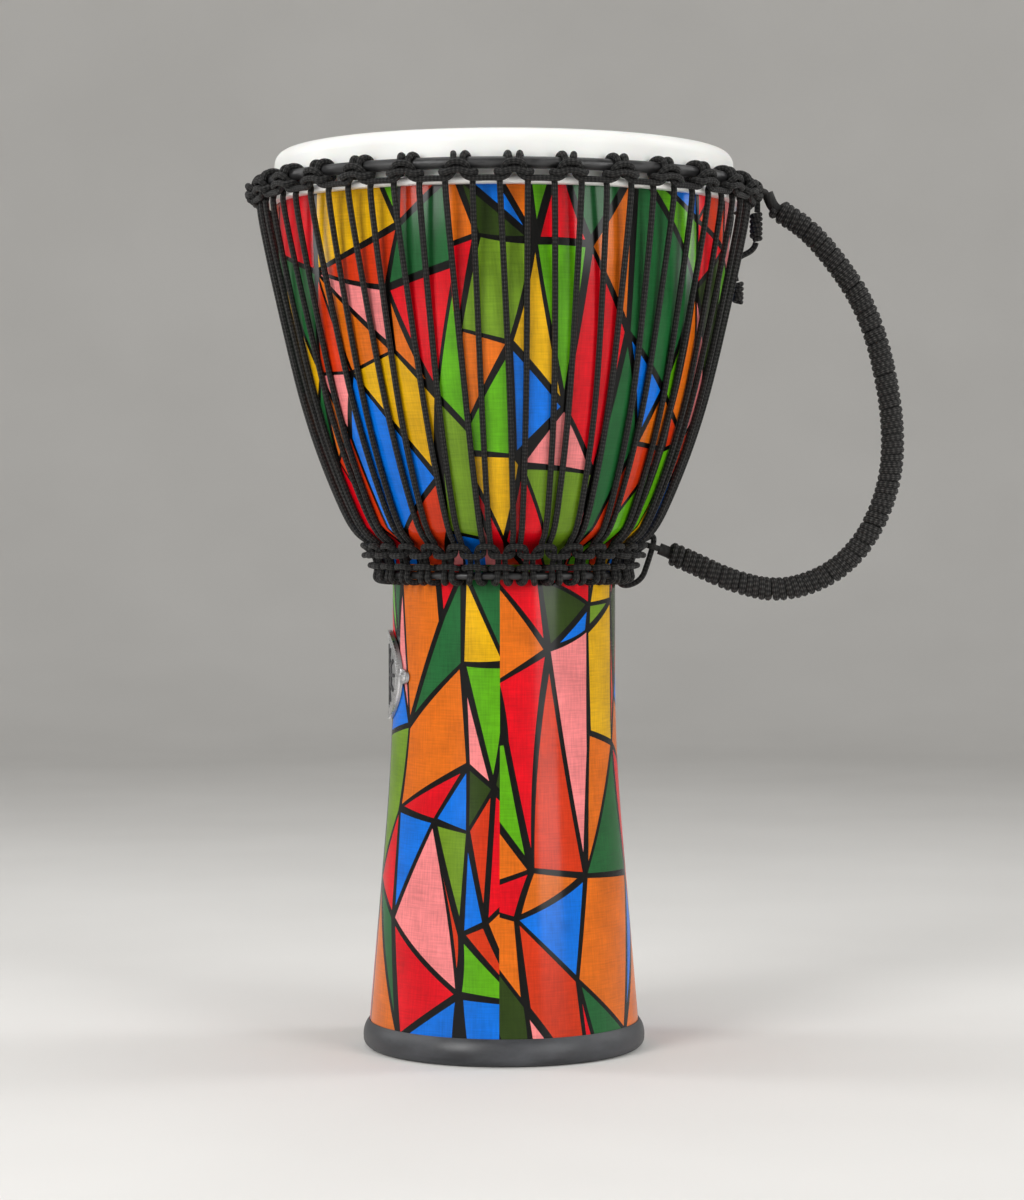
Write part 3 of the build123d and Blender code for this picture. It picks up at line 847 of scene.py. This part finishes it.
top_loop = [(158.5, 580.1), (158.5, 591.9), (177.3, 592.0), (173.7, 580.1)]
lower_loop = [
    (104.9, 349.5),
    (99, 349),
    (78.5, 334),
    (78.3, 318),
    (84, 314.5),
    (95, 319),
    (99.4, 331),
]
for name, loop, angle in (
    ("handle_top_lashing", top_loop, HINGE_TOP[0]),
    ("handle_lower_lashing", lower_loop, HINGE_BOTTOM[0]),
):
    line = nurbs_line([place(angle, *corner) for corner in loop], closed=True, steps=16)
    lashing = tube(f"{name}_rope", line, ROPE * MM, closed=True, sides=12)
    lashing.data.materials.append(braided)
    settle(lashing, "drum", "rope_black", name)

tail_runs = [
    [(173.7, 580.3), (174.0, 576.0), (173.8, 571.5)],
    [(172.8, 550.5), (172.0, 545.5), (159.5, 540.0), (157.2, 533.0), (159.4, 524.0)],
]
for index, run in enumerate(tail_runs):
    line = nurbs_line([place(HINGE_TOP[0], *corner) for corner in run], steps=16)
    strand = tube(f"lashing_tail_{index}", line, ROPE * MM, sides=12)
    strand.data.materials.append(braided)
    settle(strand, "drum", "rope_black", "lashing_tail")

# Each knot of the tail: its distance from the axis, its ends' heights and its own radius.
tail_knots = [(173.0, 550.5, 571.5, 4.6), (160.5, 508.0, 524.0, 4.2)]
for index, (distance, bottom, top, radius) in enumerate(tail_knots):
    heights = (top - KNOT_END_INSET, bottom + KNOT_END_INSET)
    ends = np.array([place(HINGE_TOP[0], distance, height) for height in heights])
    coil_radius = (radius - KNOT_INSET) * MM
    coil = winding(spaced(ends, MM / 4), coil_radius, KNOT_PITCH * MM, 20, draw, wobble=1.5)
    knot = tube(f"tail_knot_{index}", coil, KNOT_CORD * MM, sides=10)
    knot.data.materials.append(wound)
    settle(knot, "drum", "rope_black", "tail_knots")

# ---- floor, backdrop and light ------------------------------------------------------------
FLOOR_RADIUS = 2.6
WALL_BEND = 1.6
WALL_TOP = 4.5
BEND_STEPS = 16
SWEEP_SEGMENTS = 96
LOW_AIM = (0, 0, 0.35)
HIGH_AIM = (0, 0, 0.5)
WORLD_COLOUR = (0.95, 0.94, 0.92, 1)
WORLD_STRENGTH = 0.25


def studio_sweep():
    """A round pale floor that curves up into a wall all the way round."""
    profile = [(0.0, 0.0), (FLOOR_RADIUS, 0.0)]
    for step in range(1, BEND_STEPS + 1):
        turn = pi / 2 * step / BEND_STEPS
        profile.append((FLOOR_RADIUS + WALL_BEND * sin(turn), WALL_BEND * (1 - cos(turn))))
    profile.append((FLOOR_RADIUS + WALL_BEND, WALL_TOP))
    points, faces = [], []
    for segment in range(SWEEP_SEGMENTS):
        turn = tau * segment / SWEEP_SEGMENTS
        points += [(radius * sin(turn), -radius * cos(turn), height) for radius, height in profile]
    count = len(profile)
    for segment in range(SWEEP_SEGMENTS):
        here, after = segment * count, (segment + 1) % SWEEP_SEGMENTS * count
        faces.append((0, here + 1, after + 1))
        faces += [(here + k, here + k + 1, after + k + 1, after + k) for k in range(1, count - 1)]
    mesh = bpy.data.meshes.new("studio_sweep")
    mesh.from_pydata(points, [], faces)
    mesh.polygons.foreach_set("use_smooth", [True] * len(faces))
    paper = Nodes("studio_paper", (0.74, 0.73, 0.71), 0.8)
    tone = paper.noise(3, 2)
    paper.paint(paper.ramp(tone, (0.72, 0.71, 0.69), (0.76, 0.75, 0.73)))
    mesh.materials.append(paper.material)
    return add_object("studio_sweep", mesh)


def softbox(name, position, aim, size, power):
    """A rectangular area light that points at the drum."""
    data = bpy.data.lights.new(name, "AREA")
    data.shape = "RECTANGLE"
    data.size, data.size_y = size
    data.energy = power
    lamp = bpy.data.objects.new(name, data)
    lamp.location = position
    lamp.rotation_euler = (Vector(aim) - Vector(position)).to_track_quat("-Z", "Y").to_euler()
    bpy.context.scene.collection.objects.link(lamp)


studio_sweep()
softbox("key", (-1.5, -1.9, 1.25), LOW_AIM, (1.0, 1.6), 44)
softbox("fill", (1.7, -1.8, 0.95), LOW_AIM, (1.0, 1.6), 30)
softbox("left_edge", (-1.5, 0.35, 1.1), LOW_AIM, (0.4, 1.6), 9)
softbox("right_edge", (1.5, 0.35, 1.1), LOW_AIM, (0.4, 1.6), 9)
softbox("top", (0, 0.1, 2.2), HIGH_AIM, (1.4, 1.4), 12)

world = bpy.data.worlds.new("studio")
world.use_nodes = True
background = world.node_tree.nodes["Background"]
background.inputs["Color"].default_value = WORLD_COLOUR
background.inputs["Strength"].default_value = WORLD_STRENGTH
bpy.context.scene.world = world
